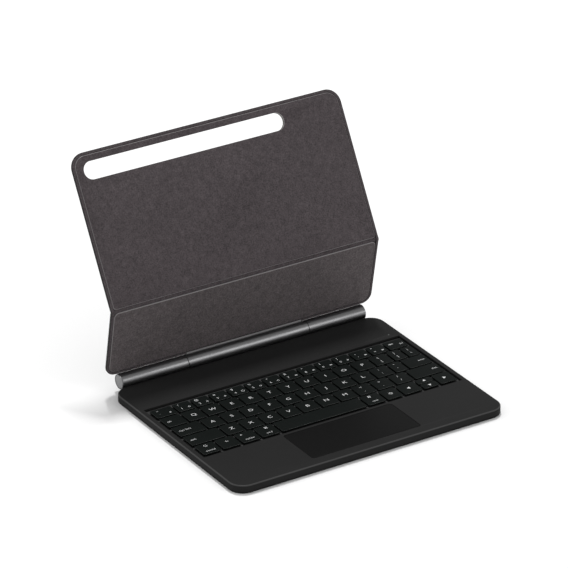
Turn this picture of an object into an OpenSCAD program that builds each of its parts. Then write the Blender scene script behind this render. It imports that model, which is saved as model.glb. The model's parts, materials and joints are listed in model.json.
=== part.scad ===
// Tablet keyboard case: a keyboard base with a trackpad, and a two-panel folding cover on a friction hinge.
// Millimetres. Origin: centre of the base's underside. +Z up, +X to the typist's right, +Y away from the typist.

/* [Base] */
// Width of the keyboard base
base_w = 256; // [255:0.5:262]
// Depth of the keyboard base, front edge to rear edge
base_d = 194; // [193:0.5:198]
// Thickness of the keyboard base
base_t = 7.4; // [7.4:0.1:8.4]
// Radius of the base's corners and of the cover's upper corners
corner_r = 13; // [11:0.5:14]

/* [Keys] */
// Distance from one letter key to the next, both ways
key_pitch = 18; // [17.8:0.1:18]
// Distance between number keys
number_pitch = 16.95; // [16.8:0.05:16.95]
// Gap between neighbouring key caps
key_gap = 1.8; // [1.5:0.1:2.4]
// Width of the block of keys
keys_w = 242; // [241.8:0.1:243]
// Height of a key cap
cap_h = 1.1; // [0.9:0.1:1.1]
// Travel of a key
key_travel = 1; // [0.6:0.1:1]

/* [Trackpad] */
// Width of the trackpad
pad_w = 103; // [90:1:110]
// Depth of the trackpad
pad_d = 44.6; // [42:0.2:44.8]

/* [Hinge] */
// Outer radius of the hinge barrel
barrel_r = 6.65; // [6.5:0.05:6.7]
// Length of the hinge barrel
barrel_len = 236.8; // [230:0.2:240]
// Distance of the barrel's left seam from the middle of the case
left_seam = 55; // [50:1:60]
// Distance of the barrel's right seam from the middle of the case
right_seam = 62; // [55:1:65]
// Angle of the lower panel above the rearward direction, as stored
lower_angle = 100.46; // [90:0.02:105]

/* [Cover] */
// Width of the cover
cover_w = 257.5; // [256:0.5:260]
// Length of the lower panel, from its bottom edge to the crease
lower_len = 64.3; // [62:0.1:66]
// Length of the upper panel, from the crease to its top edge
upper_len = 131.5; // [129:0.5:134]
// Angle by which the upper panel folds back at the crease, as stored
fold_angle = 40.24; // [30:0.02:45]
// Radius of the cover's lower corners, beside the hinge
low_corner_r = 9; // [7:0.5:12]
// Thickness of each panel at its rim
panel_t = 2.8; // [2.6:0.1:3]
// Width of the skin's rim around the lining
rim_w = 2.6; // [2:0.1:3]
// Length of the slot for the camera and pen
slot_len = 190.6; // [180:0.2:195]
// Width of the slot for the camera and pen
slot_w = 15.2; // [12:0.2:18]

/* [Hidden] */
$fn = 48;

// Colours
skin_colour = [0.13, 0.13, 0.13];
deck_colour = [0.16, 0.16, 0.16];
key_colour = [0.1, 0.11, 0.105];
lining_colour = [0.28, 0.26, 0.265];
metal_colour = [0.55, 0.56, 0.58];
barrel_colour = [0.35, 0.35, 0.36];
board_colour = [0.05, 0.28, 0.16];
film_colour = [0.75, 0.72, 0.6];

// Heights inside the base, from the bottom up
skin_top = 1.4;           // seam between the bottom skin and the deck's side wall
plate_top = 2.2;          // bottom plate
film_top = 2.5;           // key circuit sheet
bed_t = 0.6;              // key support plate
deck_t = 1.2;             // thickness of the deck's top face
deck_under = base_t - deck_t;
wall_t = 1.5;             // thickness of the deck's side wall
deck_edge_r = 1.2;        // rounding of the deck's top edge
skin_edge_r = 1.3;        // rounding of the skin's bottom edge
cap_top = base_t + 0.1;   // key caps stand a touch proud of the deck
bed_top = cap_top - cap_h - key_travel - 0.2;
plunger_bottom = bed_top + 0.05;
dome_top = bed_top - key_travel;    // rubber domes, drawn as low as when a key is fully down
gap = 0.3;                // room beside a part that moves
past = 1;                 // how far a cutting shape runs past what it cuts

// Keys. Rows are counted from the rear; widths here include the gap.
cap_d = key_pitch - key_gap;
number_d = 13.4;          // depth of a number key's cap
cap_corner_r = 1.1;
plunger_r = 1.5;
plunger_hole_r = 2;
dome_r = 3;
dome_top_r = 1.6;
keys_left = -keys_w / 2;
keys_end = keys_w + key_gap;
backquote_w = 20.9;
tab_w = 19.7;
caps_w = 26.6;
quote_w = 13.4;
shift_w = 33.5;
bracket_key_w = 13.6;
modifier_w = 18.4;
space_w = 82.6;
backlight_w = 16.5;
side_arrow_w = 19;
middle_arrow_w = 16.4;
half_key_d = (cap_d - 1) / 2;

// The opening in the deck for the keys, and the rim below it that carries the key support plate
well_w = keys_w + 5;
well_front = -2 * key_pitch - 3.5;
well_rear = 2 * key_pitch + key_gap / 2 + number_d + 4;
well_rim = 1.2;
well_d = well_rear - well_front;
well_y = (well_rear + well_front) / 2;

// Trackpad
pad_front = -87;
pad_rear = pad_front + pad_d;
pad_y = (pad_front + pad_rear) / 2;
pad_top = base_t - 0.1;
pad_t = 0.9;
pad_bottom = pad_top - pad_t;
pad_board_t = 0.8;
pad_corner_r = 2.4;

// Charge port, power switch and light, on the right
port_y = 74;
port_z = 4;
port_w = 8.94;
port_h = 3.26;
port_wall = 0.3;
port_len = 7.2;
switch_y = 60;
switch_travel = 2;
knob_w = 3;
knob_h = 1.6;
light_x = 117;
light_y = 60;
light_r = 0.6;

// Hinge axis, and where the lower panel's bottom edge and rim lie from it
axis_y = base_d / 2 + 5.6;
axis_z = base_t + 2.87;
axis_to_edge = 5.3;
axis_to_rim = 3.8;
bore_r = 5.4;
shaft_r = 2;
shaft_fit = 0.05;
seam = 0.4;               // gap at each seam of the barrel
barrel_edge_r = 0.9;
clutch_len = 18;
hub_len = 14;
end_cap_t = 3;
arm_w = 40;               // hinge bracket
arm_top = 5.4;
arm_t = 1.4;
arm_front = 60;
arm_screw_y = 66;
arm_screw_pitch = 24;
screw_r = 1;
screw_head_r = 2;
boss_r = 3;

// Cover panels, each in its own frame: x across, y up the panel, z towards the typist and 0 at the rim
board_back = 0.8 - panel_t;
board_front = -0.8;
lining_top = 0.3;         // the lining stands this far above the rim
lining_end = 1.9;         // from the crease to the lining and the stiffener
skin_end = 1.7;           // from the crease to the end of each skin
crease_t = 0.8;
crease_leg = 1.5;
panel_edge_r = 0.9;
crease_corner_r = 2.5;    // corners of the linings beside the crease
slot_x = -23.8;
slot_y = upper_len - 15.8;
leaf_len = 17;
leaf_left = 3 - left_seam;
leaf_right = right_seam - 3;
leaf_w = leaf_right - leaf_left;
leaf_foot = 2.9;          // the leaf starts this far above the hinge axis
nose_below = 0.5;         // the leaf's bright nose, below and above the lower panel's bottom edge
nose_above = 1.5;
rivet_r = 1.5;
magnet_r = 5;

// ---------- shared shapes ----------

module rounded_rect(w, d, r) {
    square([w - 2 * r, d], center = true);
    square([w, d - 2 * r], center = true);
    for (sx = [-1, 1], sy = [-1, 1])
        translate([sx * (w / 2 - r), sy * (d / 2 - r)]) circle(r);
}

// A flat plate with rounded corners, between two heights
module plate(w, d, r, z0, z1) {
    translate([0, 0, z0]) linear_extrude(z1 - z0) rounded_rect(w, d, r);
}

// A block between two heights, centred in x and y
module block(w, d, z0, z1) {
    translate([-w / 2, -d / 2, z0]) cube([w, d, z1 - z0]);
}

// The waste outside a quarter round, with the round's centre at the origin
module edge_waste(r) {
    difference() {
        square(r + past);
        circle(r);
    }
}

// Sweeps a profile round a rounded rectangle; the profile's x is 0 at each corner's centre and r at the rim
module sweep_round(w, d, r) {
    for (turn = [0:3]) {
        side_x = turn % 2 == 0 ? w : d;
        side_y = turn % 2 == 0 ? d : w;
        rotate([0, 0, 90 * turn]) translate([side_x / 2 - r, side_y / 2 - r, 0]) {
            rotate_extrude(angle = 90) children();
            rotate([90, 0, 0]) linear_extrude(side_y - 2 * r) children();
        }
    }
}

// A slab with rounded corners, its top and bottom edges rounded by their own radii
module slab(w, d, r, z0, z1, bottom_r, top_r) {
    block(w - 2 * r, d - 2 * r, z0, z1);
    sweep_round(w, d, r) difference() {
        translate([0, z0]) square([r, z1 - z0]);
        if (top_r > 0) translate([r - top_r, z1 - top_r]) edge_waste(top_r);
        if (bottom_r > 0) translate([r - bottom_r, z0 + bottom_r]) mirror([0, 1]) edge_waste(bottom_r);
    }
}

// A flat shape with straight sides and round ends
module stadium(length, width) {
    square([length - width, width], center = true);
    for (side = [-1, 1]) translate([side * (length - width) / 2, 0]) circle(width / 2);
}

// A rod along X
module rod(x0, x1, r) {
    translate([x0, 0, 0]) rotate([0, 90, 0]) cylinder(h = x1 - x0, r = r);
}

// ---------- places ----------

module at_axis() {
    translate([0, axis_y, axis_z]) children();
}

module on_lower() {
    at_axis() rotate([lower_angle, 0, 0]) translate([0, axis_to_edge, -axis_to_rim]) children();
}

module on_upper() {
    on_lower() translate([0, lower_len, 0]) rotate([-fold_angle, 0, 0]) children();
}

// The barrel's seams, and the side of each seam that the base holds
SEAMS = [[-left_seam, -1], [right_seam, 1]];

// ---------- base shell ----------

module base_skin() {
    color(skin_colour) slab(base_w, base_d, corner_r, 0, skin_top, skin_edge_r, 0);
}

module arm_bosses() {
    for (s = SEAMS, x = [8, arm_w - 6], y = [0, arm_screw_pitch])
        translate([s[0] + s[1] * x, arm_screw_y + y, 0]) children();
}

module bottom_plate() {
    inset = wall_t + 0.1;
    color(metal_colour) difference() {
        union() {
            plate(base_w - 2 * inset, base_d - 2 * inset, corner_r - inset, skin_top, plate_top);
            arm_bosses() translate([0, 0, plate_top]) cylinder(h = arm_top - arm_t - plate_top, r = boss_r);
        }
        arm_bosses() translate([0, 0, skin_top + 0.2]) cylinder(h = arm_top, r = screw_r);
    }
}

module arm_blocks(grow) {
    for (s = SEAMS)
        translate([s[0] + s[1] * (arm_w / 2 + 1), 0, 0])
            translate([-arm_w / 2 - grow, arm_front, arm_top - arm_t - grow])
                cube([arm_w + 2 * grow, axis_y - arm_front, arm_t + 2 * grow]);
}

module well_hole(grow, z0, z1) {
    translate([0, well_y, 0]) block(well_w + 2 * grow, well_d + 2 * grow, z0, z1);
}

module keyboard_deck() {
    color(deck_colour) difference() {
        union() {
            difference() {
                slab(base_w, base_d, corner_r, skin_top, base_t, 0, deck_edge_r);
                plate(base_w - 2 * wall_t, base_d - 2 * wall_t, corner_r - wall_t, 0, deck_under);
            }
            well_hole(well_rim, bed_top, deck_under + deck_t / 2);
        }
        well_hole(0, 0, base_t + past);
        translate([0, pad_y, 0])
            plate(pad_w + 2 * gap, pad_d + 2 * gap, pad_corner_r + gap, bed_top, base_t + past);
        translate([base_w / 2 - wall_t - past, port_y, port_z]) rotate([90, 0, 90])
            linear_extrude(wall_t + 2 * past) stadium(port_w + 0.4, port_h + 0.4);
        translate([base_w / 2 - wall_t - past, switch_y - gap, port_z - knob_h / 2 - gap])
            cube([wall_t + 2 * past, knob_w + switch_travel + 2 * gap, knob_h + 2 * gap]);
        translate([light_x, light_y, bed_top]) cylinder(h = base_t, r = light_r);
        arm_blocks(0.1);
        at_axis() rod(-barrel_len / 2 - gap, barrel_len / 2 + gap, barrel_r + gap);
    }
}

// ---------- inside the base ----------

module key_support_plate() {
    color(metal_colour) difference() {
        well_hole(well_rim, bed_top - bed_t, bed_top);
        for (keys = ALL_KEYS, k = keys) at_key(k)
            translate([0, 0, bed_top - bed_t - past]) cylinder(h = bed_t + 2 * past, r = plunger_hole_r);
    }
}

module key_circuit_sheet() {
    color(film_colour) well_hole(-1, plate_top, film_top);
}

module rubber_domes() {
    color([0.8, 0.8, 0.78]) for (keys = ALL_KEYS, k = keys) at_key(k)
        translate([0, 0, film_top]) cylinder(h = dome_top - film_top, r1 = dome_r, r2 = dome_top_r);
}

module main_circuit_board() {
    board_t = 0.8;
    color(board_colour) translate([-87.5, -66.5, 0]) {
        block(55, 43, plate_top, plate_top + board_t);
        for (x = [-16, 0, 16]) translate([x, 6, 0]) block(9, 9, plate_top + board_t, plate_top + 2 * board_t);
    }
}

module battery_cells() {
    color([0.2, 0.22, 0.3]) for (x = [73.5, 101.5])
        translate([x, -66.5, 0]) block(27, 43, plate_top, deck_under - 0.4);
}

module base_magnets() {
    color([0.7, 0.7, 0.72]) for (x = [-100, -76, 76, 100])
        translate([x, -91.6, plate_top]) cylinder(h = 2, r = 3);
}

module port_circuit_board() {
    board_end = base_w / 2 - 1 - port_len;
    color(board_colour) translate([board_end - 11, 50, port_z - 0.4]) cube([11, 32, 0.8]);
}

module charge_port() {
    tongue_w = 6.7;
    tongue_t = 0.7;
    color(metal_colour) translate([base_w / 2 - 1 - port_len, port_y, port_z]) rotate([90, 0, 90]) {
        difference() {
            linear_extrude(port_len) stadium(port_w, port_h);
            translate([0, 0, 0.5]) linear_extrude(port_len)
                stadium(port_w - 2 * port_wall, port_h - 2 * port_wall);
        }
        translate([-tongue_w / 2, -tongue_t / 2, 0]) cube([tongue_w, tongue_t, port_len - 1.2]);
    }
}

module power_switch_body() {
    color([0.1, 0.1, 0.1]) translate([base_w / 2 - 8.2, switch_y - 3, port_z - 1.4])
        cube([4.8, knob_w + switch_travel + 5, 2.8]);
}

module power_switch_knob() {
    color([0.3, 0.3, 0.3]) translate([base_w / 2 - 3.1, switch_y, port_z - knob_h / 2])
        cube([3.7, knob_w, knob_h]);
}

module status_light() {
    color([0.7, 0.75, 0.7]) translate([light_x, light_y, deck_under]) cylinder(h = deck_t, r = light_r);
}

// ---------- trackpad ----------

module trackpad_plate() {
    color([0.12, 0.12, 0.12]) translate([0, pad_y, 0]) plate(pad_w, pad_d, pad_corner_r, pad_bottom, pad_top);
}

module trackpad_circuit_board() {
    inset = 2;
    color(board_colour) translate([0, pad_y, 0])
        block(pad_w - 2 * inset, pad_d - 2 * inset, pad_bottom - pad_board_t, pad_bottom);
}

module trackpad_switch() {
    color([0.6, 0.6, 0.6]) translate([0, pad_front + 4, 0]) {
        block(6, 5, plate_top, plate_top + 1.8);
        translate([0, 0, plate_top + 1.8]) cylinder(h = 1.1, r = 1.4);
    }
}

module trackpad_leaf_spring() {
    reach = 1.6;
    deck_edge = 1.5;
    color(metal_colour) translate([0, pad_rear + (deck_edge - reach) / 2, 0])
        block(pad_w - 12, deck_edge + reach, deck_under - 0.2, deck_under);
}

// ---------- keys ----------

// A key is [left edge within the block, front edge, width with its gap, depth of its cap]
function key(left, row, right) =
    [left, (2 - row) * key_pitch, right - left, row == 0 ? number_d : cap_d];
function key_run(left, row, pitch, count) =
    [for (i = [0:count - 1]) key(left + i * pitch, row, left + (i + 1) * pitch)];

delete_x = backquote_w + 12 * number_pitch;
bracket_x = tab_w + 11 * key_pitch;
backslash_x = bracket_x + bracket_key_w;
quote_x = caps_w + 10 * key_pitch;
enter_x = quote_x + quote_w;
shift_right_x = shift_w + 10 * key_pitch;
space_x = 4 * modifier_w;
command_right_x = space_x + space_w;
backlight_x = command_right_x + modifier_w;
arrow_left_x = backlight_x + backlight_w;
arrow_middle_x = arrow_left_x + side_arrow_w;
arrow_right_x = arrow_middle_x + middle_arrow_w;
arrow_front = -2 * key_pitch;

BACKQUOTE = [key(0, 0, backquote_w)];
NUMBERS = key_run(backquote_w, 0, number_pitch, 12);
DELETE = [key(delete_x, 0, keys_end)];
TAB = [key(0, 1, tab_w)];
UPPER_ROW = concat(key_run(tab_w, 1, key_pitch, 11), [key(bracket_x, 1, backslash_x)]);
BACKSLASH = [key(backslash_x, 1, keys_end)];
CAPS_LOCK = [key(0, 2, caps_w)];
HOME_ROW = key_run(caps_w, 2, key_pitch, 10);
QUOTE = [key(quote_x, 2, enter_x)];
ENTER = [key(enter_x, 2, keys_end)];
SHIFT_LEFT = [key(0, 3, shift_w)];
LOWER_ROW = key_run(shift_w, 3, key_pitch, 10);
SHIFT_RIGHT = [key(shift_right_x, 3, keys_end)];
CONTROL = [key(0, 4, modifier_w)];
FUNCTION = [key(modifier_w, 4, 2 * modifier_w)];
OPTION = [key(2 * modifier_w, 4, 3 * modifier_w)];
COMMAND_LEFT = [key(3 * modifier_w, 4, space_x)];
SPACE = [key(space_x, 4, command_right_x)];
COMMAND_RIGHT = [key(command_right_x, 4, backlight_x)];
BACKLIGHT = [key(backlight_x, 4, arrow_left_x)];
ARROW_LEFT = [key(arrow_left_x, 4, arrow_middle_x)];
ARROW_UP = [[arrow_middle_x, arrow_front + half_key_d + 1, middle_arrow_w, half_key_d]];
ARROW_DOWN = [[arrow_middle_x, arrow_front, middle_arrow_w, half_key_d]];
ARROW_RIGHT = [key(arrow_right_x, 4, keys_end)];
ALL_KEYS = [
    BACKQUOTE, NUMBERS, DELETE, TAB, UPPER_ROW, BACKSLASH, CAPS_LOCK, HOME_ROW, QUOTE, ENTER,
    SHIFT_LEFT, LOWER_ROW, SHIFT_RIGHT, CONTROL, FUNCTION, OPTION, COMMAND_LEFT, SPACE,
    COMMAND_RIGHT, BACKLIGHT, ARROW_LEFT, ARROW_UP, ARROW_DOWN, ARROW_RIGHT
];

// Moves to the middle of a key
module at_key(k) {
    translate([keys_left + k[0] + (k[2] - key_gap) / 2, k[1] + k[3] / 2, 0]) children();
}

module key_caps(keys) {
    color(key_colour) for (k = keys) at_key(k) {
        plate(k[2] - key_gap, k[3], cap_corner_r, cap_top - cap_h, cap_top);
        translate([0, 0, plunger_bottom]) cylinder(h = cap_top - cap_h - plunger_bottom, r = plunger_r);
    }
}

// ---------- hinge ----------

module barrel(x0, x1, round_left, round_right) {
    round_w = barrel_edge_r;
    at_axis() rotate([0, 90, 0]) translate([0, 0, x0]) rotate_extrude() difference() {
        translate([bore_r, 0]) square([barrel_r - bore_r, x1 - x0]);
        if (round_left) translate([barrel_r - round_w, round_w]) mirror([0, 1]) edge_waste(round_w);
        if (round_right) translate([barrel_r - round_w, x1 - x0 - round_w]) edge_waste(round_w);
    }
}

module hinge_barrel_left() {
    color(barrel_colour) difference() {
        barrel(-barrel_len / 2, -left_seam - seam / 2, true, false);
        arm_blocks(0.02);
    }
}

module hinge_barrel_right() {
    color(barrel_colour) difference() {
        barrel(right_seam + seam / 2, barrel_len / 2, false, true);
        arm_blocks(0.02);
    }
}

module hinge_barrel_middle() {
    color(barrel_colour) barrel(seam / 2 - left_seam, right_seam - seam / 2, false, false);
}

module hinge_end_caps() {
    color([0.55, 0.55, 0.56]) at_axis() {
        rod(-barrel_len / 2, -barrel_len / 2 + end_cap_t, bore_r);
        rod(barrel_len / 2 - end_cap_t, barrel_len / 2, bore_r);
    }
}

// Runs along X on the base's side of a seam, from near to far
module beyond_seam(s, near, far, r) {
    at_axis() rod(min(s[0] + s[1] * near, s[0] + s[1] * far), max(s[0] + s[1] * near, s[0] + s[1] * far), r);
}

module hinge_brackets() {
    color(metal_colour) difference() {
        union() {
            arm_blocks(0);
            for (s = SEAMS) beyond_seam(s, 1, 1 + hub_len, bore_r);
        }
        for (s = SEAMS) beyond_seam(s, 0, 2 + hub_len, shaft_r);
        arm_bosses() cylinder(h = arm_top + past, r = screw_r);
    }
}

module hinge_shafts() {
    color([0.75, 0.75, 0.77]) for (s = SEAMS) beyond_seam(s, -clutch_len - 1, 1 + hub_len, shaft_r);
}

module friction_clutches() {
    color([0.5, 0.5, 0.5]) for (s = SEAMS) difference() {
        beyond_seam(s, -clutch_len - 0.5, -0.5, bore_r);
        beyond_seam(s, -clutch_len - past, past, shaft_r + shaft_fit);
    }
}

module bracket_screws() {
    color([0.7, 0.7, 0.72]) arm_bosses() {
        translate([0, 0, skin_top + 0.2]) cylinder(h = arm_top - skin_top - 0.2, r = screw_r);
        translate([0, 0, arm_top]) cylinder(h = 0.6, r = screw_head_r);
    }
}

// ---------- cover panels ----------

// One end of a slab that is rounded at its far end and cut off square near the crease.
// up is 1 for the panel above the crease and -1 for the one below.
module panel_end(w, len, r, z0, z1, edge_r, cut, up) {
    intersection() {
        slab(w, 2 * len, r, z0, z1, edge_r, edge_r);
        translate([-cover_w, up > 0 ? cut : -len - past, z0 - past])
            cube([2 * cover_w, len + past - cut, z1 - z0 + 2 * past]);
    }
}

// A tray with a rim on three sides, open towards the crease
module panel_skin(len, up, r) {
    color(skin_colour) difference() {
        panel_end(cover_w, len, r, -panel_t, 0, panel_edge_r, skin_end, up);
        plate(cover_w - 2 * rim_w, 2 * (len - rim_w), r - rim_w, board_back, past);
    }
}

// A sheet that fills the tray between two heights
module panel_sheet(len, up, r, inset, z0, z1) {
    w = cover_w - 2 * rim_w - 2 * inset;
    near = lining_end;
    far = len - rim_w - inset;
    corner = r - rim_w - inset;
    translate([0, 0, z0]) linear_extrude(z1 - z0) intersection() {
        rounded_rect(w, 2 * far, corner);
        union() {
            translate([-w / 2, up > 0 ? near + crease_corner_r : -far]) square([w, far - near - crease_corner_r]);
            translate([0, up * (near + far / 4)]) rounded_rect(w, far / 2, crease_corner_r);
        }
    }
}

module leaf_block(grow) {
    leaf_bottom = leaf_foot - axis_to_edge;
    translate([leaf_left - grow, leaf_bottom, board_back])
        cube([leaf_w + 2 * grow, leaf_len - leaf_bottom + grow, board_front - board_back]);
}

module leaf_nose() {
    translate([leaf_left, -nose_below, board_back])
        cube([leaf_w, nose_below + nose_above, lining_top - board_back]);
}

module rivets() {
    for (i = [0:4]) translate([leaf_left + leaf_w * (i + 0.5) / 5, leaf_len - 6, board_back])
        cylinder(h = board_front - board_back, r = rivet_r);
}

module hinge_leaf() {
    color(metal_colour) difference() {
        on_lower() difference() {
            union() {
                leaf_block(0);
                leaf_nose();
            }
            rivets();
        }
        at_axis() rod(-barrel_len / 2, barrel_len / 2, barrel_r);
    }
}

module leaf_rivets() {
    color([0.7, 0.7, 0.72]) on_lower() rivets();
}

module lower_skin() {
    color(skin_colour) on_lower() difference() {
        translate([0, lower_len, 0]) panel_skin(lower_len, -1, low_corner_r);
        leaf_block(0);
        leaf_nose();
    }
}

module lower_stiffener() {
    color([0.4, 0.4, 0.38]) on_lower() difference() {
        translate([0, lower_len, 0]) panel_sheet(lower_len, -1, low_corner_r, 0.1, board_back, board_front);
        leaf_block(0.2);
    }
}

module lower_lining() {
    color(lining_colour) on_lower() translate([0, lower_len, 0])
        panel_sheet(lower_len, -1, low_corner_r, 0, board_front, lining_top);
}

// A point of the crease strip's upper leg, seen from the lower panel
function folded(y, z) = [
    y * cos(fold_angle) + z * sin(fold_angle),
    z * cos(fold_angle) - y * sin(fold_angle)
];

// The folding skin between the panels: two legs that meet on the crease
module crease_strip() {
    strip_w = cover_w - 2 * rim_w - 2 * crease_corner_r;
    inner_corner = -crease_t * tan(fold_angle / 2);
    color(lining_colour) on_lower() translate([-strip_w / 2, lower_len, 0]) rotate([90, 0, 90])
        linear_extrude(strip_w) polygon([
            [-lining_end, 0],
            [0, 0],
            folded(crease_leg, 0),
            folded(crease_leg, -crease_t),
            [inner_corner, -crease_t],
            [-lining_end, -crease_t]
        ]);
}

module slot() {
    translate([slot_x, slot_y, -panel_t - past]) linear_extrude(panel_t + 2 * past + lining_top)
        stadium(slot_len, slot_w);
}

module tablet_magnet_places() {
    for (x = [-104, -84, 84, 104], y = [24, 92]) translate([x, y, board_back]) children();
}

module magnet_shapes() {
    tablet_magnet_places() cylinder(h = board_front - board_back, r = magnet_r);
}

module upper_skin() {
    color(skin_colour) on_upper() difference() {
        panel_skin(upper_len, 1, corner_r);
        slot();
    }
}

module upper_stiffener() {
    color([0.4, 0.4, 0.38]) on_upper() difference() {
        panel_sheet(upper_len, 1, corner_r, 0.1, board_back, board_front);
        slot();
        magnet_shapes();
    }
}

module upper_lining() {
    color(lining_colour) on_upper() difference() {
        panel_sheet(upper_len, 1, corner_r, 0, board_front, lining_top);
        slot();
    }
}

module tablet_magnets() {
    color([0.7, 0.7, 0.72]) on_upper() magnet_shapes();
}

// ---------- nodes ----------

base_skin();
bottom_plate();
keyboard_deck();
key_support_plate();
key_circuit_sheet();
rubber_domes();
main_circuit_board();
battery_cells();
trackpad_plate();
trackpad_circuit_board();
trackpad_switch();
trackpad_leaf_spring();
charge_port();
port_circuit_board();
power_switch_knob();
power_switch_body();
status_light();
base_magnets();
hinge_barrel_left();
hinge_barrel_right();
hinge_end_caps();
hinge_brackets();
bracket_screws();
hinge_shafts();
hinge_barrel_middle();
hinge_leaf();
friction_clutches();
leaf_rivets();
lower_stiffener();
lower_skin();
lower_lining();
crease_strip();
upper_stiffener();
upper_skin();
upper_lining();
tablet_magnets();
key_caps(BACKQUOTE);  // key_backquote
key_caps(NUMBERS);  // keys_number_row
key_caps(DELETE);  // key_delete
key_caps(TAB);  // key_tab
key_caps(UPPER_ROW);  // keys_upper_row
key_caps(BACKSLASH);  // key_backslash
key_caps(CAPS_LOCK);  // key_caps_lock
key_caps(HOME_ROW);  // keys_home_row
key_caps(QUOTE);  // key_quote
key_caps(ENTER);  // key_enter
key_caps(SHIFT_LEFT);  // key_shift_left
key_caps(LOWER_ROW);  // keys_lower_row
key_caps(SHIFT_RIGHT);  // key_shift_right
key_caps(CONTROL);  // key_control
key_caps(FUNCTION);  // key_function
key_caps(OPTION);  // key_option
key_caps(COMMAND_LEFT);  // key_command_left
key_caps(SPACE);  // space_bar
key_caps(COMMAND_RIGHT);  // key_command_right
key_caps(BACKLIGHT);  // key_backlight
key_caps(ARROW_LEFT);  // key_arrow_left
key_caps(ARROW_UP);  // key_arrow_up
key_caps(ARROW_DOWN);  // key_arrow_down
key_caps(ARROW_RIGHT);  // key_arrow_right
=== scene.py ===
import json
import math

import bmesh
import bpy
from mathutils import Matrix, Vector


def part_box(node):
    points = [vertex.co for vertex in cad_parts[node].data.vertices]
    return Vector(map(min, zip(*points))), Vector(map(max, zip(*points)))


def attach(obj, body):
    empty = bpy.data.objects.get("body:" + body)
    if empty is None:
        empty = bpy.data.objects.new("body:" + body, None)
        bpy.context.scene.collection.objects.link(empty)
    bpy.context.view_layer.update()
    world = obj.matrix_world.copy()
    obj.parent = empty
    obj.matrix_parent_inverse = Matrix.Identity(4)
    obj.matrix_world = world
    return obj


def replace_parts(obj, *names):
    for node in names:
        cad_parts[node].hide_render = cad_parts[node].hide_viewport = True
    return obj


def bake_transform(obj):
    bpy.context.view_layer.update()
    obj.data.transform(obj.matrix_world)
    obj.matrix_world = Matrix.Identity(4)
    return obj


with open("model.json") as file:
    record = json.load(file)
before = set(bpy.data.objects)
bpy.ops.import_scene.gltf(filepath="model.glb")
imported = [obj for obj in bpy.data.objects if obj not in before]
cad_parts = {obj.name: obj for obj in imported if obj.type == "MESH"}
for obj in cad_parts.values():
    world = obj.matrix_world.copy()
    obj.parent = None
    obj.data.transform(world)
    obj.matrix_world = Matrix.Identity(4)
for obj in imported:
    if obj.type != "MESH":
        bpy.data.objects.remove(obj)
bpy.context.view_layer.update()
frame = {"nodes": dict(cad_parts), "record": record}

NODES = frame["nodes"]
RECORD = frame["record"]
JOINTS = {joint["name"]: joint for joint in RECORD["behaviour"]["joints"]}
BODY_OF = {node: body for body, nodes in RECORD["behaviour"]["bodies"].items() for node in nodes}
MM = 0.001


# ---------- sizes, the same as the part's ----------

deck_low, deck_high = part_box("keyboard_deck")
plate_low, plate_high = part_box("key_support_plate")
skin_low, skin_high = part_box("base_skin")
pad_low, pad_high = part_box("trackpad_plate")
leaf_low, leaf_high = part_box("hinge_leaf")
cover_low, cover_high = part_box("upper_skin")

CORNER = 13 * MM                 # the base's corners and the cover's upper corners
LOW_CORNER = 9 * MM              # the cover's lower corners
DECK_EDGE = 1.2 * MM
SKIN_EDGE = 1.3 * MM
DECK_T = 1.2 * MM
WALL_T = 1.5 * MM
WELL_RIM = 1.2 * MM
GAP = 0.3 * MM
PANEL_T = 2.8 * MM
RIM = 2.6 * MM
BOARD_FRONT = -0.8 * MM
LINING_TOP = 0.3 * MM
LINING_END = 1.9 * MM            # from the crease to each lining
AXIS_TO_EDGE = 5.3 * MM            # from the hinge axis to the lower panel's bottom edge
AXIS_TO_RIM = 3.8 * MM
BARREL_R = 6.65 * MM
CAP_R = 5.7 * MM
SLOT_LEN = 190.6 * MM
SLOT_W = 15.2 * MM
SLOT_X = -23.8 * MM
SLOT_FROM_TOP = 15.8 * MM
UPPER_LEN = 131.5 * MM
COVER_W = cover_high[0] - cover_low[0]

hinge = Vector(JOINTS["cover_hinge"]["pos_m"])
crease = Vector(JOINTS["cover_crease"]["pos_m"])
face_axis = next(m["axis"] for m in RECORD["mounts"] if m["name"] == "tablet_face")
to_crease = crease - hinge
along = math.sqrt(to_crease.length ** 2 - AXIS_TO_RIM ** 2)
LOWER_LEN = along - AXIS_TO_EDGE
lower_angle = math.atan2(to_crease.z, to_crease.y) + math.atan2(AXIS_TO_RIM, along)
upper_angle = math.atan2(-face_axis[1], face_axis[2])
FOLD = lower_angle - upper_angle
BEND = 2.6 * MM                  # the skin bends within this distance of the crease

ON_LOWER = Matrix.Translation(crease) @ Matrix.Rotation(lower_angle, 4, "X")
ON_UPPER = Matrix.Translation(crease) @ Matrix.Rotation(upper_angle, 4, "X")


# ---------- materials ----------

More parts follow.
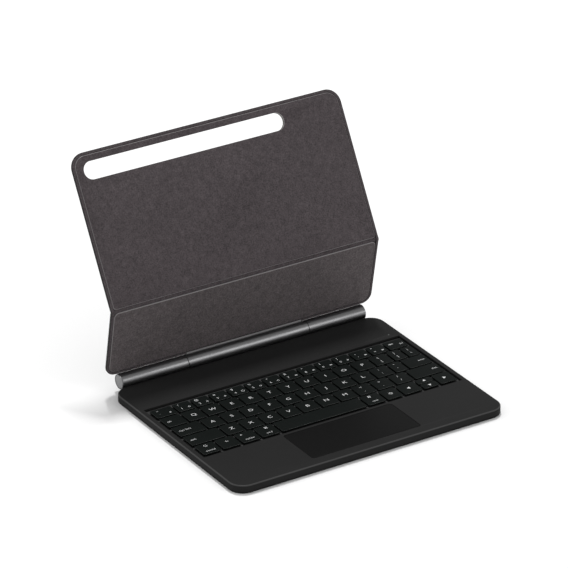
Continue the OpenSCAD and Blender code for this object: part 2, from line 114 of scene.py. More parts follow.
class Nodes:
    """Short names for building one material's node tree."""

    def __init__(self, name):
        self.material = bpy.data.materials.new(name)
        self.material.use_nodes = True
        self.tree = self.material.node_tree
        self.shader = self.tree.nodes["Principled BSDF"]
        self.place = self.add("ShaderNodeTexCoord").outputs["Object"]

    def add(self, kind, **settings):
        node = self.tree.nodes.new(kind)
        for key, value in settings.items():
            setattr(node, key, value)
        return node

    def link(self, source, target):
        self.tree.links.new(source, target)

    def noise(self, scale, detail=3, roughness=0.5, stretch=None):
        """A noise value at so many cycles a metre, drawn out along an axis if stretch is given."""
        node = self.add("ShaderNodeTexNoise")
        node.inputs["Scale"].default_value = scale
        node.inputs["Detail"].default_value = detail
        node.inputs["Roughness"].default_value = roughness
        source = self.place
        if stretch:
            mapping = self.add("ShaderNodeMapping")
            mapping.inputs["Scale"].default_value = stretch
            self.link(self.place, mapping.inputs["Vector"])
            source = mapping.outputs["Vector"]
        self.link(source, node.inputs["Vector"])
        return node.outputs["Fac"]

    def cells(self, scale):
        node = self.add("ShaderNodeTexVoronoi")
        node.inputs["Scale"].default_value = scale
        self.link(self.place, node.inputs["Vector"])
        return node.outputs["Distance"]

    def spread(self, value, low, high, start=0.3, end=0.7):
        """Maps a noise value onto a range."""
        node = self.add("ShaderNodeMapRange")
        node.inputs["From Min"].default_value = start
        node.inputs["From Max"].default_value = end
        node.inputs["To Min"].default_value = low
        node.inputs["To Max"].default_value = high
        self.link(value, node.inputs["Value"])
        return node.outputs["Result"]

    def tint(self, colour, *factors):
        """The base colour, multiplied by each factor in turn."""
        last = None
        for factor in factors:
            mix = self.add("ShaderNodeVectorMath", operation="SCALE")
            if last is None:
                mix.inputs[0].default_value = colour
            else:
                self.link(last, mix.inputs[0])
            self.link(factor, mix.inputs["Scale"])
            last = mix.outputs["Vector"]
        self.link(last, self.shader.inputs["Base Color"])

    def bump(self, height, depth, strength=1.0):
        node = self.add("ShaderNodeBump")
        node.inputs["Distance"].default_value = depth
        node.inputs["Strength"].default_value = strength
        self.link(height, node.inputs["Height"])
        self.link(node.outputs["Normal"], self.shader.inputs["Normal"])

    def set(self, **values):
        for key, value in values.items():
            self.shader.inputs[key.replace("_", " ")].default_value = value


def linear(red, green, blue):
    """A screen colour, 0 to 255, as the linear colour that shaders use."""
    def one(value):
        value /= 255
        return value / 12.92 if value <= 0.04045 else ((value + 0.055) / 1.055) ** 2.4
    return (one(red), one(green), one(blue))


def microfibre(name, colour):
    m = Nodes(name)
    nap = m.noise(850, 3, 0.6)
    patches = m.noise(210, 4, 0.6)
    clouds = m.noise(22, 3, 0.5)
    shades = [m.spread(nap, 0.6, 1.4), m.spread(patches, 0.82, 1.18), m.spread(clouds, 0.94, 1.06)]
    m.tint(linear(*colour), *shades)
    m.bump(nap, 0.12 * MM, 0.8)
    m.set(Roughness=0.95, Sheen_Weight=0.12, Sheen_Roughness=0.5)
    m.shader.inputs["Specular IOR Level"].default_value = 0.15
    return m.material


def lining_edge_painted_highlight():
    """The lining's turned-down edge: a much lighter, less rough copy of the lining's colour, a painted
    highlight line along the edge.
    """
    m = Nodes("lining_edge_painted_highlight")
    grain = m.noise(1600, 2)
    m.tint(linear(128, 124, 125), m.spread(grain, 0.9, 1.1))
    m.bump(grain, 0.02 * MM, 0.3)
    m.set(Roughness=0.35)
    return m.material


def moulded_skin():
    m = Nodes("moulded_polyurethane")
    grain = m.cells(2600)
    wear = m.noise(60, 3)
    m.tint(linear(28, 28, 28), m.spread(grain, 0.9, 1.08, 0.0, 0.6), m.spread(wear, 0.94, 1.06))
    m.bump(grain, 0.03 * MM, 0.5)
    m.set(Roughness=0.5)
    m.shader.inputs["Specular IOR Level"].default_value = 0.12
    return m.material


def deck_paint(name, shade, specular):
    m = Nodes(name)
    grain = m.noise(3200, 2, 0.6)
    clouds = m.noise(30, 3)
    m.tint(linear(shade, shade, shade), m.spread(grain, 0.93, 1.07), m.spread(clouds, 0.97, 1.03))
    m.bump(grain, 0.02 * MM, 0.5)
    m.set(Roughness=0.42)
    m.shader.inputs["Specular IOR Level"].default_value = specular
    return m.material


def trackpad_glass():
    m = Nodes("trackpad_satin")
    grain = m.noise(4200, 2, 0.6)
    m.tint(linear(19, 19, 19), m.spread(grain, 0.95, 1.05))
    m.bump(grain, 0.008 * MM, 0.4)
    m.set(Roughness=0.4)
    m.shader.inputs["Specular IOR Level"].default_value = 0.02
    return m.material


def key_plastic(name, roughness, specular):
    m = Nodes(name)
    grain = m.noise(3800, 2, 0.6)
    rub = m.noise(90, 3)
    m.tint(linear(18, 21, 20), m.spread(grain, 0.93, 1.07), m.spread(rub, 0.95, 1.05))
    m.bump(grain, 0.015 * MM, 0.4)
    m.set(Roughness=roughness)
    m.shader.inputs["Specular IOR Level"].default_value = specular
    return m.material


def legend_paint():
    m = Nodes("legend_paint")
    ink = m.noise(5000, 2)
    m.tint(linear(205, 206, 206), m.spread(ink, 0.92, 1.0))
    m.set(Roughness=0.5)
    return m.material


def brushed(name, colour, roughness, strength, metallic=1.0):
    """Metal with fine lines along X."""
    m = Nodes(name)
    lines = m.noise(2400, 2, 0.6, stretch=(0.02, 1, 1))
    smudge = m.noise(45, 3)
    m.tint(linear(*colour), m.spread(lines, 1 - strength, 1 + strength), m.spread(smudge, 0.97, 1.03))
    m.link(m.spread(lines, roughness - 0.06, roughness + 0.06), m.shader.inputs["Roughness"])
    m.bump(lines, 0.004 * MM, 0.5)
    m.set(Metallic=metallic)
    return m.material


def dark_inside():
    m = Nodes("blackened_plate")
    grain = m.noise(1500, 2)
    m.tint(linear(10, 10, 11), m.spread(grain, 0.9, 1.1))
    m.bump(grain, 0.01 * MM, 0.4)
    m.set(Roughness=0.7)
    return m.material


def plain_plastic(name, colour, roughness):
    """Inner parts and small fittings: moulded, with a fine grain."""
    m = Nodes(name)
    grain = m.noise(2500, 2)
    m.tint(linear(*colour), m.spread(grain, 0.92, 1.08))
    m.bump(grain, 0.01 * MM, 0.4)
    m.set(Roughness=roughness)
    return m.material


MICROFIBRE = microfibre("microfibre", (72, 66, 68))
# The lower lining's cloth: the same microfibre painted lighter, painted light on the lower panel.
MICROFIBRE_PAINTED_LIGHTER = microfibre("microfibre_painted_lighter", (85, 79, 80))
# The linings' edges: a painted highlight, much lighter than the cloth.
LINING_EDGE_PAINTED_HIGHLIGHT = lining_edge_painted_highlight()
SKIN = moulded_skin()
DECK = deck_paint("deck_soft_touch", 38, 0.015)
# The deck's rounded top edge: a lighter, glossier paint as a painted highlight line.
DECK_EDGE_PAINTED_HIGHLIGHT = deck_paint("deck_edge_painted_highlight", 58, 0.15)
TRACKPAD = trackpad_glass()
KEY = key_plastic("key_plastic", 0.45, 0.02)
KEY_EDGE_GLOSS = key_plastic("key_polished_edge", 0.22, 0.5)
LEGEND = legend_paint()
BARREL = brushed("barrel_gunmetal", (122, 122, 123), 0.34, 0.06)
CAP = brushed("end_cap_satin", (136, 136, 137), 0.45, 0.05)
LEAF = brushed("leaf_satin", (190, 190, 191), 0.4, 0.06, 0.5)
STEEL = brushed("steel", (170, 170, 172), 0.35, 0.05)
INSIDE = dark_inside()


# ---------- mesh building ----------

def piece(name, mesh, material, body):
    """A new object in the row frame that rides on a body."""
    obj = bpy.data.objects.new(name, mesh)
    bpy.context.scene.collection.objects.link(obj)
    mesh.materials.clear()
    mesh.materials.append(material)
    if body:
        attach(obj, body)
    return obj


def smooth(mesh, angle=35):
    """Smooth shading with creases kept where faces meet at more than angle."""
    mesh.polygons.foreach_set("use_smooth", [True] * len(mesh.polygons))
    mesh.set_sharp_from_angle(angle=math.radians(angle))
    mesh.update()


def new_mesh(name, points, faces):
    mesh = bpy.data.meshes.new(name)
    mesh.from_pydata([tuple(p) for p in points], [], faces)
    mesh.update()
    return mesh


def arc(start, end, steps):
    """Angles in radians from start to end degrees."""
    return [math.radians(start + (end - start) * i / steps) for i in range(steps + 1)]


def outline(half_w, front, rear, front_r, rear_r, stops=(), steps=12):
    """Stations round a rounded rectangle: (centre, direction, radius), with the right half first.
    Its left half mirrors the right one, station for station from the end."""
    right = []
    for a in arc(-90, 0, steps):
        right.append((half_w - front_r, front + front_r, math.cos(a), math.sin(a), front_r))
    for y in stops:
        right.append((half_w - front_r, y, 1.0, 0.0, front_r))
    for a in arc(0, 90, steps):
        right.append((half_w - rear_r, rear - rear_r, math.cos(a), math.sin(a), rear_r))
    left = [(-x, y, -dx, dy, r) for x, y, dx, dy, r in reversed(right)]
    return right + left


def shell(name, stations, profile):
    """A closed solid: rings at each (inset, height) of the profile, capped at the first and the last."""
    count = len(stations)
    points = []
    for inset, height in profile:
        for x, y, dx, dy, r in stations:
            points.append((x + dx * (r - inset), y + dy * (r - inset), height))
    faces = []
    for ring in range(len(profile) - 1):
        low = ring * count
        high = low + count
        for i in range(count):
            j = (i + 1) % count
            faces.append((low + i, low + j, high + j, high + i))
    top = (len(profile) - 1) * count
    for i in range(count // 2 - 1):
        across = (i, i + 1, count - 2 - i, count - 1 - i)
        faces.append(tuple(reversed(across)))
        faces.append(tuple(top + k for k in across))
    return new_mesh(name, points, faces)


def rounded_profile(low, high, low_r, high_r, steps=6):
    """A slab's edge from its underside to its top, with each edge rounded by its own radius."""
    points = []
    for a in arc(-90, 0, steps):
        points.append((low_r - low_r * math.cos(a), low + low_r + low_r * math.sin(a)))
    for a in arc(0, 90, steps):
        points.append((high_r - high_r * math.cos(a), high - high_r + high_r * math.sin(a)))
    return points


def lathe(name, profile, segments=96):
    """A solid turned about the X axis from (x, radius) points, closed at its first and last radius."""
    points = []
    for x, r in profile:
        for i in range(segments):
            a = 2 * math.pi * i / segments
            points.append((x, r * math.cos(a), r * math.sin(a)))
    faces = []
    for ring in range(len(profile) - 1):
        for i in range(segments):
            j = (i + 1) % segments
            low = ring * segments
            faces.append((low + i, low + segments + i, low + segments + j, low + j))
    last = (len(profile) - 1) * segments
    faces.append(tuple(range(segments)))
    faces.append(tuple(last + i for i in reversed(range(segments))))
    return new_mesh(name, points, faces)


def stadium_points(length, width, steps=16):
    half = (length - width) / 2
    points = [(half + width / 2 * math.cos(a), width / 2 * math.sin(a)) for a in arc(-90, 90, steps)]
    points += [(-half + width / 2 * math.cos(a), width / 2 * math.sin(a)) for a in arc(90, 270, steps)]
    return points


def prism(name, points, low, high):
    """A flat outline extruded between two heights."""
    count = len(points)
    corners = [(x, y, low) for x, y in points] + [(x, y, high) for x, y in points]
    faces = [(i, (i + 1) % count, count + (i + 1) % count, count + i) for i in range(count)]
    faces.append(tuple(reversed(range(count))))
    faces.append(tuple(range(count, 2 * count)))
    return new_mesh(name, corners, faces)


def block(name, low, high):
    points = [(low[0], low[1]), (high[0], low[1]), (high[0], high[1]), (low[0], high[1])]
    return prism(name, points, low[2], high[2])


def carve(mesh, others, operation="DIFFERENCE", bevel=0.0, limit=50):
    """Cuts or joins solids in turn, then rounds the edges that are sharper than limit degrees."""
    scene = bpy.context.scene
    base = bpy.data.objects.new("carving", mesh)
    scene.collection.objects.link(base)
    tools = []
    for other in others:
        tool = bpy.data.objects.new("carving_tool", other)
        scene.collection.objects.link(tool)
        modifier = base.modifiers.new("cut", "BOOLEAN")
        modifier.operation = operation
        modifier.solver = "EXACT"
        modifier.object = tool
        tools.append(tool)
    if bevel:
        modifier = base.modifiers.new("round", "BEVEL")
        modifier.width = bevel
        modifier.segments = 3
        modifier.limit_method = "ANGLE"
        modifier.angle_limit = math.radians(limit)
    bpy.context.view_layer.update()
    done = bpy.data.meshes.new_from_object(base.evaluated_get(bpy.context.evaluated_depsgraph_get()))
    for obj in tools + [base]:
        bpy.data.objects.remove(obj)
    return done


def moved(mesh, matrix):
    mesh.transform(matrix)
    return mesh


def islands(node):
    """(lowest corner, highest corner) of each solid in a CAD node, from left to right."""
    bm = bmesh.new()
    bm.from_mesh(NODES[node].data)
    bmesh.ops.remove_doubles(bm, verts=bm.verts, dist=1e-6)
    left = set(bm.verts)
    boxes = []
    while left:
        stack = [left.pop()]
        group = list(stack)
        while stack:
            for edge in stack.pop().link_edges:
                for vert in edge.verts:
                    if vert in left:
                        left.remove(vert)
                        stack.append(vert)
                        group.append(vert)
        low = [min(v.co[i] for v in group) for i in range(3)]
        high = [max(v.co[i] for v in group) for i in range(3)]
        boxes.append((low, high))
    bm.free()
    return sorted(boxes, key=lambda b: b[0][0])


# ---------- base ----------

def base_shell():
    half_w = deck_high[0]
    sides = outline(half_w, deck_low[1], deck_high[1], CORNER, CORNER)
    profile = rounded_profile(skin_low[2], skin_high[2] - 0.12 * MM, SKIN_EDGE * 0.95, 0.08 * MM)
    skin = shell("base_outer_skin", sides, profile)
    smooth(skin)
    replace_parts(piece("base_outer_skin", skin, SKIN, "base"), "base_skin")

    bottom = skin_high[2] + 0.04 * MM
    top = deck_high[2]
    profile = [(WALL_T, top - DECK_T), (WALL_T, bottom)] + rounded_profile(bottom, top, 0.1 * MM, DECK_EDGE)
    deck = shell("deck", sides, profile)
    well_low = Vector((plate_low[0] + WELL_RIM, plate_low[1] + WELL_RIM, plate_high[2]))
    well_high = Vector((plate_high[0] - WELL_RIM, plate_high[1] - WELL_RIM, top))
    collar_low = (plate_low[0], plate_low[1], plate_high[2])
    collar_high = (plate_high[0], plate_high[1], top - DECK_T / 2)
    deck = carve(deck, [block("collar", collar_low, collar_high)], "UNION")
    past = Vector((0, 0, 5 * MM))
    tools = [block("well", well_low - past, well_high + past)]
    pad_sides = outline(
        pad_high[0] + GAP, pad_low[1] - GAP, pad_high[1] + GAP, 2.7 * MM, 2.7 * MM, steps=6
    )
    tools.append(shell("pad_opening", pad_sides, [(0, plate_high[2]), (0, top + 5 * MM)]))
    port_low, port_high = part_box("charge_port")
    port_mid = Vector((half_w, (port_low[1] + port_high[1]) / 2, (port_low[2] + port_high[2]) / 2))
    port = prism("port_opening", stadium_points(port_high[1] - port_low[1] + 0.4 * MM,
                                                port_high[2] - port_low[2] + 0.4 * MM), -3 * MM, 3 * MM)
    turn = Matrix.Rotation(math.radians(90), 4, "Z") @ Matrix.Rotation(math.radians(90), 4, "X")
    tools.append(moved(port, Matrix.Translation(port_mid) @ turn))
    knob_low, knob_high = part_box("power_switch_knob")
    travel = JOINTS["power_switch_slide"]["range_m"][1]
    tools.append(block("switch_opening", (half_w - 3 * MM, knob_low[1] - GAP, knob_low[2] - GAP),
                       (half_w + 3 * MM, knob_high[1] + travel + GAP, knob_high[2] + GAP)))
    light_low, light_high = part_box("status_light")
    light_mid = ((light_low[0] + light_high[0]) / 2, (light_low[1] + light_high[1]) / 2)
    light_r = (light_high[0] - light_low[0]) / 2
    hole = [(light_mid[0] + light_r * math.cos(a), light_mid[1] + light_r * math.sin(a))
            for a in arc(0, 345, 23)]
    tools.append(prism("light_opening", hole, light_low[2] - MM, top + MM))
    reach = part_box("hinge_end_caps")[1][0] + GAP
    room = lathe("hinge_room", [(-reach, BARREL_R + GAP), (reach, BARREL_R + GAP)])
    tools.append(moved(room, Matrix.Translation(hinge)))
    deck = carve(deck, tools, bevel=0.15 * MM)
    inner = half_w - 2 * DECK_EDGE
    front = deck_low[1] + CORNER
    # Faces of the rounded top edge at the sides and the front get the painted highlight.
    rounded = [0.35 < face.normal.z < 0.97 and (abs(face.center.x) > inner or face.center.y < front)
               for face in deck.polygons]
    smooth(deck)
    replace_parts(piece("deck_shell", deck, DECK, "base"), "keyboard_deck")
    deck.materials.append(DECK_EDGE_PAINTED_HIGHLIGHT)
    deck.polygons.foreach_set("material_index", [int(edge) for edge in rounded])


def trackpad():
    sides = outline(pad_high[0], pad_low[1], pad_high[1], 2.4 * MM, 2.4 * MM, steps=8)
    profile = rounded_profile(pad_low[2], pad_high[2], 0.1 * MM, 0.22 * MM, 4)
    mesh = shell("trackpad_surface", sides, profile)
    smooth(mesh)
    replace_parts(piece("trackpad_surface", mesh, TRACKPAD, "trackpad"), "trackpad_plate")


# ---------- keys ----------

KEY_CORNER = 1.1 * MM
KEY_EDGE = 0.22 * MM
LEGEND_T = 0.02 * MM
LETTER = 5.3 * MM
DIGIT = 3.7 * MM
WORD = 3.1 * MM
BOLD = -0.025 * MM              # widens each side of a legend's strokes, so below zero it thins them


def merged(name, meshes):
    """Several meshes as one."""
    bm = bmesh.new()
    for mesh in meshes:
        bm.from_mesh(mesh)
        bpy.data.meshes.remove(mesh)
    done = bpy.data.meshes.new(name)
    bm.to_mesh(done)
    bm.free()
    return done


def key_cap(low, high):
    """One cap: a thin plate with rounded edges, on a round plunger."""
    half_w = (high[0] - low[0]) / 2
    mid = ((high[0] + low[0]) / 2, (high[1] + low[1]) / 2)
    half_d = (high[1] - low[1]) / 2
    sides = outline(half_w, -half_d, half_d, KEY_CORNER, KEY_CORNER, steps=5)
    plate = shell("cap", sides, rounded_profile(high[2] - 1.1 * MM, high[2], 0.1 * MM, KEY_EDGE, 4))
    ring = [(1.5 * MM * math.cos(a), 1.5 * MM * math.sin(a)) for a in arc(0, 345, 23)]
    plunger = prism("plunger", ring, low[2], high[2] - 1.05 * MM)
    cap = merged("cap", [plate, plunger])
    return moved(cap, Matrix.Translation((mid[0], mid[1], 0)))


def text_mesh(words, size, align="CENTER", bold=0.0):
    curve = bpy.data.curves.new("legend", "FONT")
    curve.body = words
    curve.size = size
    curve.align_x = align
    curve.align_y = "CENTER"
    curve.offset = bold
    curve.resolution_u = 3
    curve.extrude = LEGEND_T / 2
    obj = bpy.data.objects.new("legend", curve)
    bpy.context.scene.collection.objects.link(obj)
    bpy.context.view_layer.update()
    mesh = bpy.data.meshes.new_from_object(obj.evaluated_get(bpy.context.evaluated_depsgraph_get()))
    bpy.data.objects.remove(obj)
    bpy.data.curves.remove(curve)
    return mesh


def polygon_mark(sides, radius, turn=0.0, inner=1.0):
    """A regular polygon, or a star where inner is less than one."""
    points = []
    count = sides if inner == 1 else 2 * sides
    for i in range(count):
        r = radius if i % 2 == 0 or inner == 1 else radius * inner
        a = math.radians(turn) + 2 * math.pi * i / count
        points.append((r * math.cos(a), r * math.sin(a)))
    return prism("mark", points, -LEGEND_T / 2, LEGEND_T / 2)


def bar_mark(width, depth, x=0.0, y=0.0):
    points = [(x - width / 2, y - depth / 2), (x + width / 2, y - depth / 2),
              (x + width / 2, y + depth / 2), (x - width / 2, y + depth / 2)]
    return prism("mark", points, -LEGEND_T / 2, LEGEND_T / 2)


def sun(size):
    return merged("mark", [polygon_mark(12, size * 0.5), polygon_mark(8, size, 0, 0.55)])


def grid_mark(size):
    step = size * 0.7
    ends = (-0.5, 0.5)
    return merged("mark", [bar_mark(size * 0.5, size * 0.5, sx * step, sy * step)
                           for sx in ends for sy in ends])


def play(size):
    return merged("mark", [polygon_mark(3, size * 0.8), bar_mark(size * 0.3, size * 1.3, size * 0.9)])


def ring_mark(size):
    dots = []
    for i in range(6):
        turn = math.radians(60 * i)
        place = Matrix.Translation((size * math.cos(turn), size * math.sin(turn), 0))
        dots.append(moved(polygon_mark(6, size * 0.32, 60 * i), place))
    return merged("mark", dots)


def clover(size):
    away = size * 0.6
    corners = [moved(polygon_mark(8, size * 0.42), Matrix.Translation((sx * away, sy * away, 0)))
               for sx in (-1, 1) for sy in (-1, 1)]
    return merged("mark", corners + [bar_mark(size * 0.8, size * 0.25), bar_mark(size * 0.25, size * 0.8)])


def caret(size):
    across = bar_mark(size * 1.5, size * 0.35)
    upright = bar_mark(size * 0.35, size * 1.2, 0, size * 0.3)
    return merged("mark", [across, upright])


FUNCTION_MARKS = [sun, sun, grid_mark, ring_mark, sun, sun, play, play, play, grid_mark, play, play]


def put(mesh, x, y):
    return moved(mesh, Matrix.Translation((x, y, 0)))


def letter(char):
    wide = Matrix.Diagonal((1.18, 0.94, 1, 1))
    return lambda w, d: [put(moved(text_mesh(char, LETTER, bold=BOLD), wide), w / 2, d / 2)]


def two(upper, lower):
    """A shifted character above a plain one."""
    return lambda w, d: [put(text_mesh(upper, DIGIT, bold=BOLD), w * 0.45, d * 0.72),
                         put(text_mesh(lower, DIGIT, bold=BOLD), w * 0.45, d * 0.33)]


def number(upper, lower, mark):
    return lambda w, d: [put(text_mesh(upper, DIGIT, bold=BOLD), w * 0.28, d * 0.76),
                         put(text_mesh(lower, DIGIT, bold=BOLD), w * 0.28, d * 0.3),
                         put(mark(1.25 * MM), w * 0.74, d * 0.3)]


def word_left(word):
    return lambda w, d: [put(text_mesh(word, WORD, "LEFT", BOLD), 2.8 * MM, d / 2)]


def word_right(word):
    return lambda w, d: [put(text_mesh(word, WORD, "RIGHT", BOLD), w - 2.6 * MM, d / 2)]


def word_below(word, mark, at):
    return lambda w, d: [put(text_mesh(word, WORD, "CENTER", BOLD), w / 2, d * 0.26),
                         put(mark(1.3 * MM), w * at, d * 0.76)]


def arrow(turn, size=1.9 * MM):
    return lambda w, d: [put(polygon_mark(3, size, turn), w / 2, d / 2)]


def delete_marks(w, d):
    tail = [bar_mark(3.4 * MM, 0.7 * MM, 1.4 * MM), polygon_mark(3, 1.3 * MM, 180)]
    arrow_left = put(merged("mark", tail), w * 0.24, d * 0.62)
    word = put(text_mesh("del", WORD, "RIGHT", BOLD), w - 2 * MM, d * 0.42)
    return [arrow_left, word]


def blank(w, d):
    return []


LEGENDS = {
    "key_backquote": [number("~", "`", grid_mark)],
    "keys_number_row": [number(u, l, m) for u, l, m in zip("!@#$%^&*()_+", "1234567890-=", FUNCTION_MARKS)],
    "key_delete": [delete_marks],
    "key_tab": [word_left("tab")],
    "keys_upper_row": [letter(c) for c in "QWERTYUIOP"] + [two("{", "["), two("}", "]")],
    "key_backslash": [two("|", "\\")],
    "key_caps_lock": [word_left("caps lock")],
    "keys_home_row": [letter(c) for c in "ASDFGHJKL"] + [two(":", ";")],
    "key_quote": [two('"', "'")],
    "key_enter": [word_right("enter")],
    "key_shift_left": [word_left("shift")],
    "keys_lower_row": [letter(c) for c in "ZXCVBNM"] + [two("<", ","), two(">", "."), two("?", "/")],
    "key_shift_right": [word_right("shift")],
    "key_control": [word_below("control", ring_mark, 0.5)],
    "key_function": [lambda w, d: [put(text_mesh("fn", WORD, "CENTER", BOLD), w / 2, d * 0.6)]],
    "key_option": [word_below("option", caret, 0.3)],
    "key_command_left": [word_below("cmd", clover, 0.58)],
    "space_bar": [blank],
    "key_command_right": [word_below("cmd", clover, 0.45)],
    "key_backlight": [lambda w, d: [put(sun(2.0 * MM), w / 2, d / 2)]],
    "key_arrow_left": [arrow(180)],
    "key_arrow_up": [arrow(90, 1.7 * MM)],
    "key_arrow_down": [arrow(270, 1.7 * MM)],
    "key_arrow_right": [arrow(0)],
}


def keys():
    for node, makers in LEGENDS.items():
        caps = []
        marks = []
        for (low, high), make in zip(islands(node), makers):
            caps.append(key_cap(low, high))
            for mesh in make(high[0] - low[0], high[1] - low[1]):
                marks.append(moved(mesh, Matrix.Translation((low[0], low[1], high[2] + LEGEND_T * 0.6))))
        mesh = merged(node + "_cap", caps)
        edges = [0.2 < face.normal.z < 0.97 for face in mesh.polygons]
        smooth(mesh)
        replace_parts(piece(node + "_cap", mesh, KEY, BODY_OF[node]), node)
        mesh.materials.append(KEY_EDGE_GLOSS)
        mesh.polygons.foreach_set("material_index", [int(edge) for edge in edges])
        if marks:
            piece(node + "_legend", merged(node + "_legend", marks), LEGEND, BODY_OF[node])


# ---------- hinge ----------

def barrel(name, node, body, open_left, open_right):
    """One segment of the barrel. An open end shows a rounded edge and a recess for the end cap."""
    low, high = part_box(node)
    edge = 0.95 * MM
    chamfer = 0.15 * MM

    def finish(x, inwards, is_open):
        if not is_open:
            return [(x, BARREL_R - 1.2 * MM), (x, BARREL_R - chamfer), (x + inwards * chamfer, BARREL_R)]
        end = [(x + inwards * 1.5 * MM, 1 * MM), (x + inwards * 1.5 * MM, CAP_R), (x, CAP_R)]
        for a in arc(0, 90, 8):
            end.append((x + inwards * edge * (1 - math.cos(a)), BARREL_R - edge + edge * math.sin(a)))
        return end

    profile = finish(low[0], 1, open_left) + list(reversed(finish(high[0], -1, open_right)))
    mesh = moved(lathe(name, profile), Matrix.Translation((0, hinge.y, hinge.z)))
    smooth(mesh, 40)
    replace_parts(piece(name, mesh, BARREL, body), node)


def end_caps():
    low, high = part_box("hinge_end_caps")
    discs = []
    for x, inwards in ((low[0], 1), (high[0], -1)):
        r = CAP_R - 0.08 * MM
        edge = 0.2 * MM
        profile = [
            (x + inwards * 1.4 * MM, r),
            (x + inwards * (0.12 * MM + edge), r),
            (x + inwards * (0.12 * MM + 0.06 * MM), r - 0.06 * MM),
            (x + inwards * 0.12 * MM, r - edge),
        ]
        discs.append(lathe("disc", profile))
    mesh = moved(merged("end_cap_discs", discs), Matrix.Translation((0, hinge.y, hinge.z)))
    smooth(mesh, 30)
    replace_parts(piece("end_cap_discs", mesh, CAP, "base"), "hinge_end_caps")


# ---------- cover ----------

def slot_tool(low, high):
    points = stadium_points(SLOT_LEN, SLOT_W, 24)
    place = Matrix.Translation((SLOT_X, UPPER_LEN - SLOT_FROM_TOP, 0))
    return moved(prism("slot", points, low, high), place)


def smoothstep(t):
    t = min(max(t, 0), 1)
    return t * t * (3 - 2 * t)


def folded(point):
    """A point of the flat cover, with y measured up from the crease, bent into the stored pose."""
    turn = Matrix.Rotation(-FOLD * smoothstep(0.5 + point.y / (2 * BEND)), 4, "X")
    return ON_LOWER @ (turn @ point)


def cover_skin():
    """The outer skin: one moulding over both panels, with a rim round the linings, bent at the crease."""
    near = [BEND * i / 5 for i in range(-5, 6)]
    stops = [-40 * MM, -20 * MM, -8 * MM] + near + [8 * MM, 20 * MM, 50 * MM, 80 * MM]
    sides = outline(COVER_W / 2, -LOWER_LEN, UPPER_LEN, LOW_CORNER, CORNER, stops)
    edge = 0.95 * MM
    profile = rounded_profile(-PANEL_T, 0, edge, 0.5 * MM)
    lip = 0.25 * MM
    for a in arc(90, 0, 3):
        profile.append((RIM - lip + lip * math.cos(a), -lip + lip * math.sin(a)))
    profile.append((RIM, BOARD_FRONT))
    solid = shell("cover_skin", sides, profile)
    mesh = carve(solid, [slot_tool(-2 * PANEL_T, PANEL_T)], bevel=0.3 * MM, limit=60)
    faces_typist = [face.normal.z > 0.9 for face in mesh.polygons]
    for vertex in mesh.vertices:
        vertex.co = folded(vertex.co)
    smooth(mesh)
    obj = piece("cover_outer_skin", mesh, SKIN, None)
    mesh.materials.append(MICROFIBRE)
    mesh.polygons.foreach_set("material_index", [int(faces) for faces in faces_typist])
    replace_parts(obj, "lower_skin", "upper_skin", "crease_strip")
    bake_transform(obj)


def lining(name, node, body, material, front, rear, front_r, rear_r, place, tools):
    """A microfibre sheet on foam: its edge turns down softly into a groove inside the rim."""
    inset = RIM + 0.12 * MM
    sides = outline(COVER_W / 2 - inset, front, rear, front_r, rear_r, steps=14)
    profile = rounded_profile(BOARD_FRONT, LINING_TOP, 0.1 * MM, 0.7 * MM)
    mesh = shell(name, sides, profile)
    if tools:
        mesh = carve(mesh, tools, bevel=0.3 * MM, limit=60)
    turned_down = [abs(face.normal.z) < 0.9 for face in mesh.polygons]
    smooth(moved(mesh, place), 40)
    obj = piece(name, mesh, material, body)
    # Faces where the edge turns down take the painted highlight colour.
    mesh.materials.append(LINING_EDGE_PAINTED_HIGHLIGHT)
    mesh.polygons.foreach_set("material_index", [int(down) for down in turned_down])
    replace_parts(obj, node)
    return obj


def linings():
    inset = RIM + 0.12 * MM
    low_front = -LOWER_LEN + inset
    up_rear = UPPER_LEN - inset
    # The lower lining takes the lighter painted copy of the microfibre.
    lower = lining("lower_lining_cloth", "lower_lining", "lower_panel", MICROFIBRE_PAINTED_LIGHTER,
                   low_front, -LINING_END, LOW_CORNER - RIM, 4.5 * MM, ON_LOWER, [])
    upper = lining("upper_lining_cloth", "upper_lining", "upper_panel", MICROFIBRE, LINING_END, up_rear,
                   2.5 * MM, CORNER - RIM, ON_UPPER, [slot_tool(-PANEL_T, PANEL_T)])


# ---------- carried-over CAD pieces ----------

def dress(node, material, bevel=0.0):
    obj = NODES[node]
    obj.data.materials.clear()
    obj.data.materials.append(material)
    if bevel:
        modifier = obj.modifiers.new("round", "BEVEL")
        modifier.width = bevel
        modifier.segments = 2
        modifier.limit_method = "ANGLE"
        modifier.angle_limit = math.radians(50)


def dress_cad():
    board = plain_plastic("circuit_board", (20, 70, 45), 0.5)
    black = plain_plastic("black_plastic", (22, 22, 23), 0.45)
    fibre = plain_plastic("stiffener_board", (120, 118, 110), 0.7)
    film = plain_plastic("polyester_film", (190, 186, 160), 0.3)
    silicone = plain_plastic("silicone", (200, 200, 196), 0.5)
    pouch = plain_plastic("battery_pouch", (52, 58, 78), 0.35)
    light = plain_plastic("light_guide", (86, 90, 88), 0.25)
    for node in ("bottom_plate", "hinge_brackets", "hinge_shafts", "friction_clutches", "bracket_screws",
                 "trackpad_leaf_spring", "leaf_rivets", "base_magnets", "tablet_magnets", "charge_port"):
        dress(node, STEEL)
    for node in ("main_circuit_board", "port_circuit_board", "trackpad_circuit_board"):
        dress(node, board)
    for node in ("lower_stiffener", "upper_stiffener"):
        dress(node, fibre)
    dress("hinge_leaf", LEAF, 0.15 * MM)
    dress("key_support_plate", INSIDE)
    dress("key_circuit_sheet", film)
    dress("rubber_domes", silicone)
    dress("battery_cells", pouch)
    dress("trackpad_switch", black)
    dress("power_switch_body", black)
    dress("power_switch_knob", black, 0.2 * MM)
    dress("status_light", light)


# ---------- studio ----------

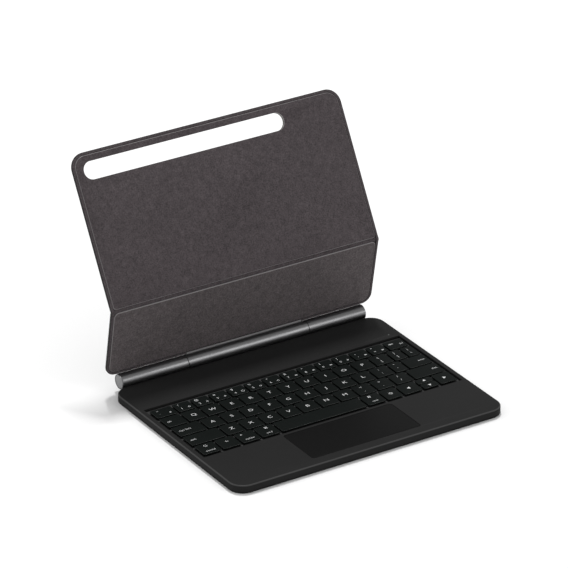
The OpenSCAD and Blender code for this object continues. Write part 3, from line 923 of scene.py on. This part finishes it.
CAMERA_AZIMUTH = -32.249
CAMERA_ELEVATION = 26.571
CAMERA_DISTANCE = 3.9276
CAMERA_LENS = 292.54
CAMERA_TARGET = Vector((94.13, 186.93, 7.02)) * MM


def studio_camera():
    data = bpy.data.cameras.new("camera")
    data.lens = CAMERA_LENS
    data.sensor_width = 36
    data.clip_end = 50
    camera = bpy.data.objects.new("camera", data)
    azimuth = math.radians(CAMERA_AZIMUTH)
    elevation = math.radians(CAMERA_ELEVATION)
    level = math.cos(elevation)
    back = Vector((math.sin(azimuth) * level, -math.cos(azimuth) * level, math.sin(elevation)))
    camera.location = CAMERA_TARGET + back * CAMERA_DISTANCE
    camera.rotation_euler = back.to_track_quat("Z", "Y").to_euler()
    bpy.context.scene.collection.objects.link(camera)
    bpy.context.scene.camera = camera


def softbox(name, place, size, power, aim=Vector((0, 20 * MM, 60 * MM))):
    """A rectangular light of so many watts, facing the aim point, its width level and along X."""
    data = bpy.data.lights.new(name, "AREA")
    data.shape = "RECTANGLE"
    data.size = size[0]
    data.size_y = size[1]
    data.energy = power
    light = bpy.data.objects.new(name, data)
    light.location = place
    back = (Vector(place) - aim).normalized()
    level = Vector((back.z, 0, -back.x)).normalized()
    axes = Matrix((level, back.cross(level), back)).transposed()
    light.rotation_euler = axes.to_euler()
    bpy.context.scene.collection.objects.link(light)


def floor():
    half = 12
    points = [(-half, -half, 0), (half, -half, 0), (half, half, 0), (-half, half, 0)]
    mesh = new_mesh("studio_floor", points, [(0, 1, 2, 3)])
    obj = bpy.data.objects.new("studio_floor", mesh)
    m = Nodes("pale_paper")
    fibre = m.noise(400, 3)
    m.tint((0.86, 0.86, 0.86), m.spread(fibre, 0.995, 1.005))
    m.set(Roughness=0.9)
    m.shader.inputs["Specular IOR Level"].default_value = 0.1
    mesh.materials.append(m.material)
    bpy.context.scene.collection.objects.link(obj)


def studio():
    studio_camera()
    floor()
    world = bpy.data.worlds.new("studio")
    world.use_nodes = True
    background = world.node_tree.nodes["Background"]
    background.inputs["Color"].default_value = (1, 1, 1, 1)
    background.inputs["Strength"].default_value = 0.6
    bpy.context.scene.world = world
    softbox("key_light", (0.70, 1.25, 3.3), (0.2, 0.8), 76)
    softbox("left_light", (-1.5, 0.6, 0.8), (0.8, 0.5), 6)
    softbox("front_light", (1.05, -1.68, 0.95), (1.1, 0.62), 7.5)
    bpy.context.scene.view_settings.view_transform = "Standard"


base_shell()
trackpad()
keys()
barrel("barrel_left", "hinge_barrel_left", "base", True, False)
barrel("barrel_middle", "hinge_barrel_middle", "lower_panel", False, False)
barrel("barrel_right", "hinge_barrel_right", "base", False, True)
end_caps()
cover_skin()
linings()
dress_cad()
studio()
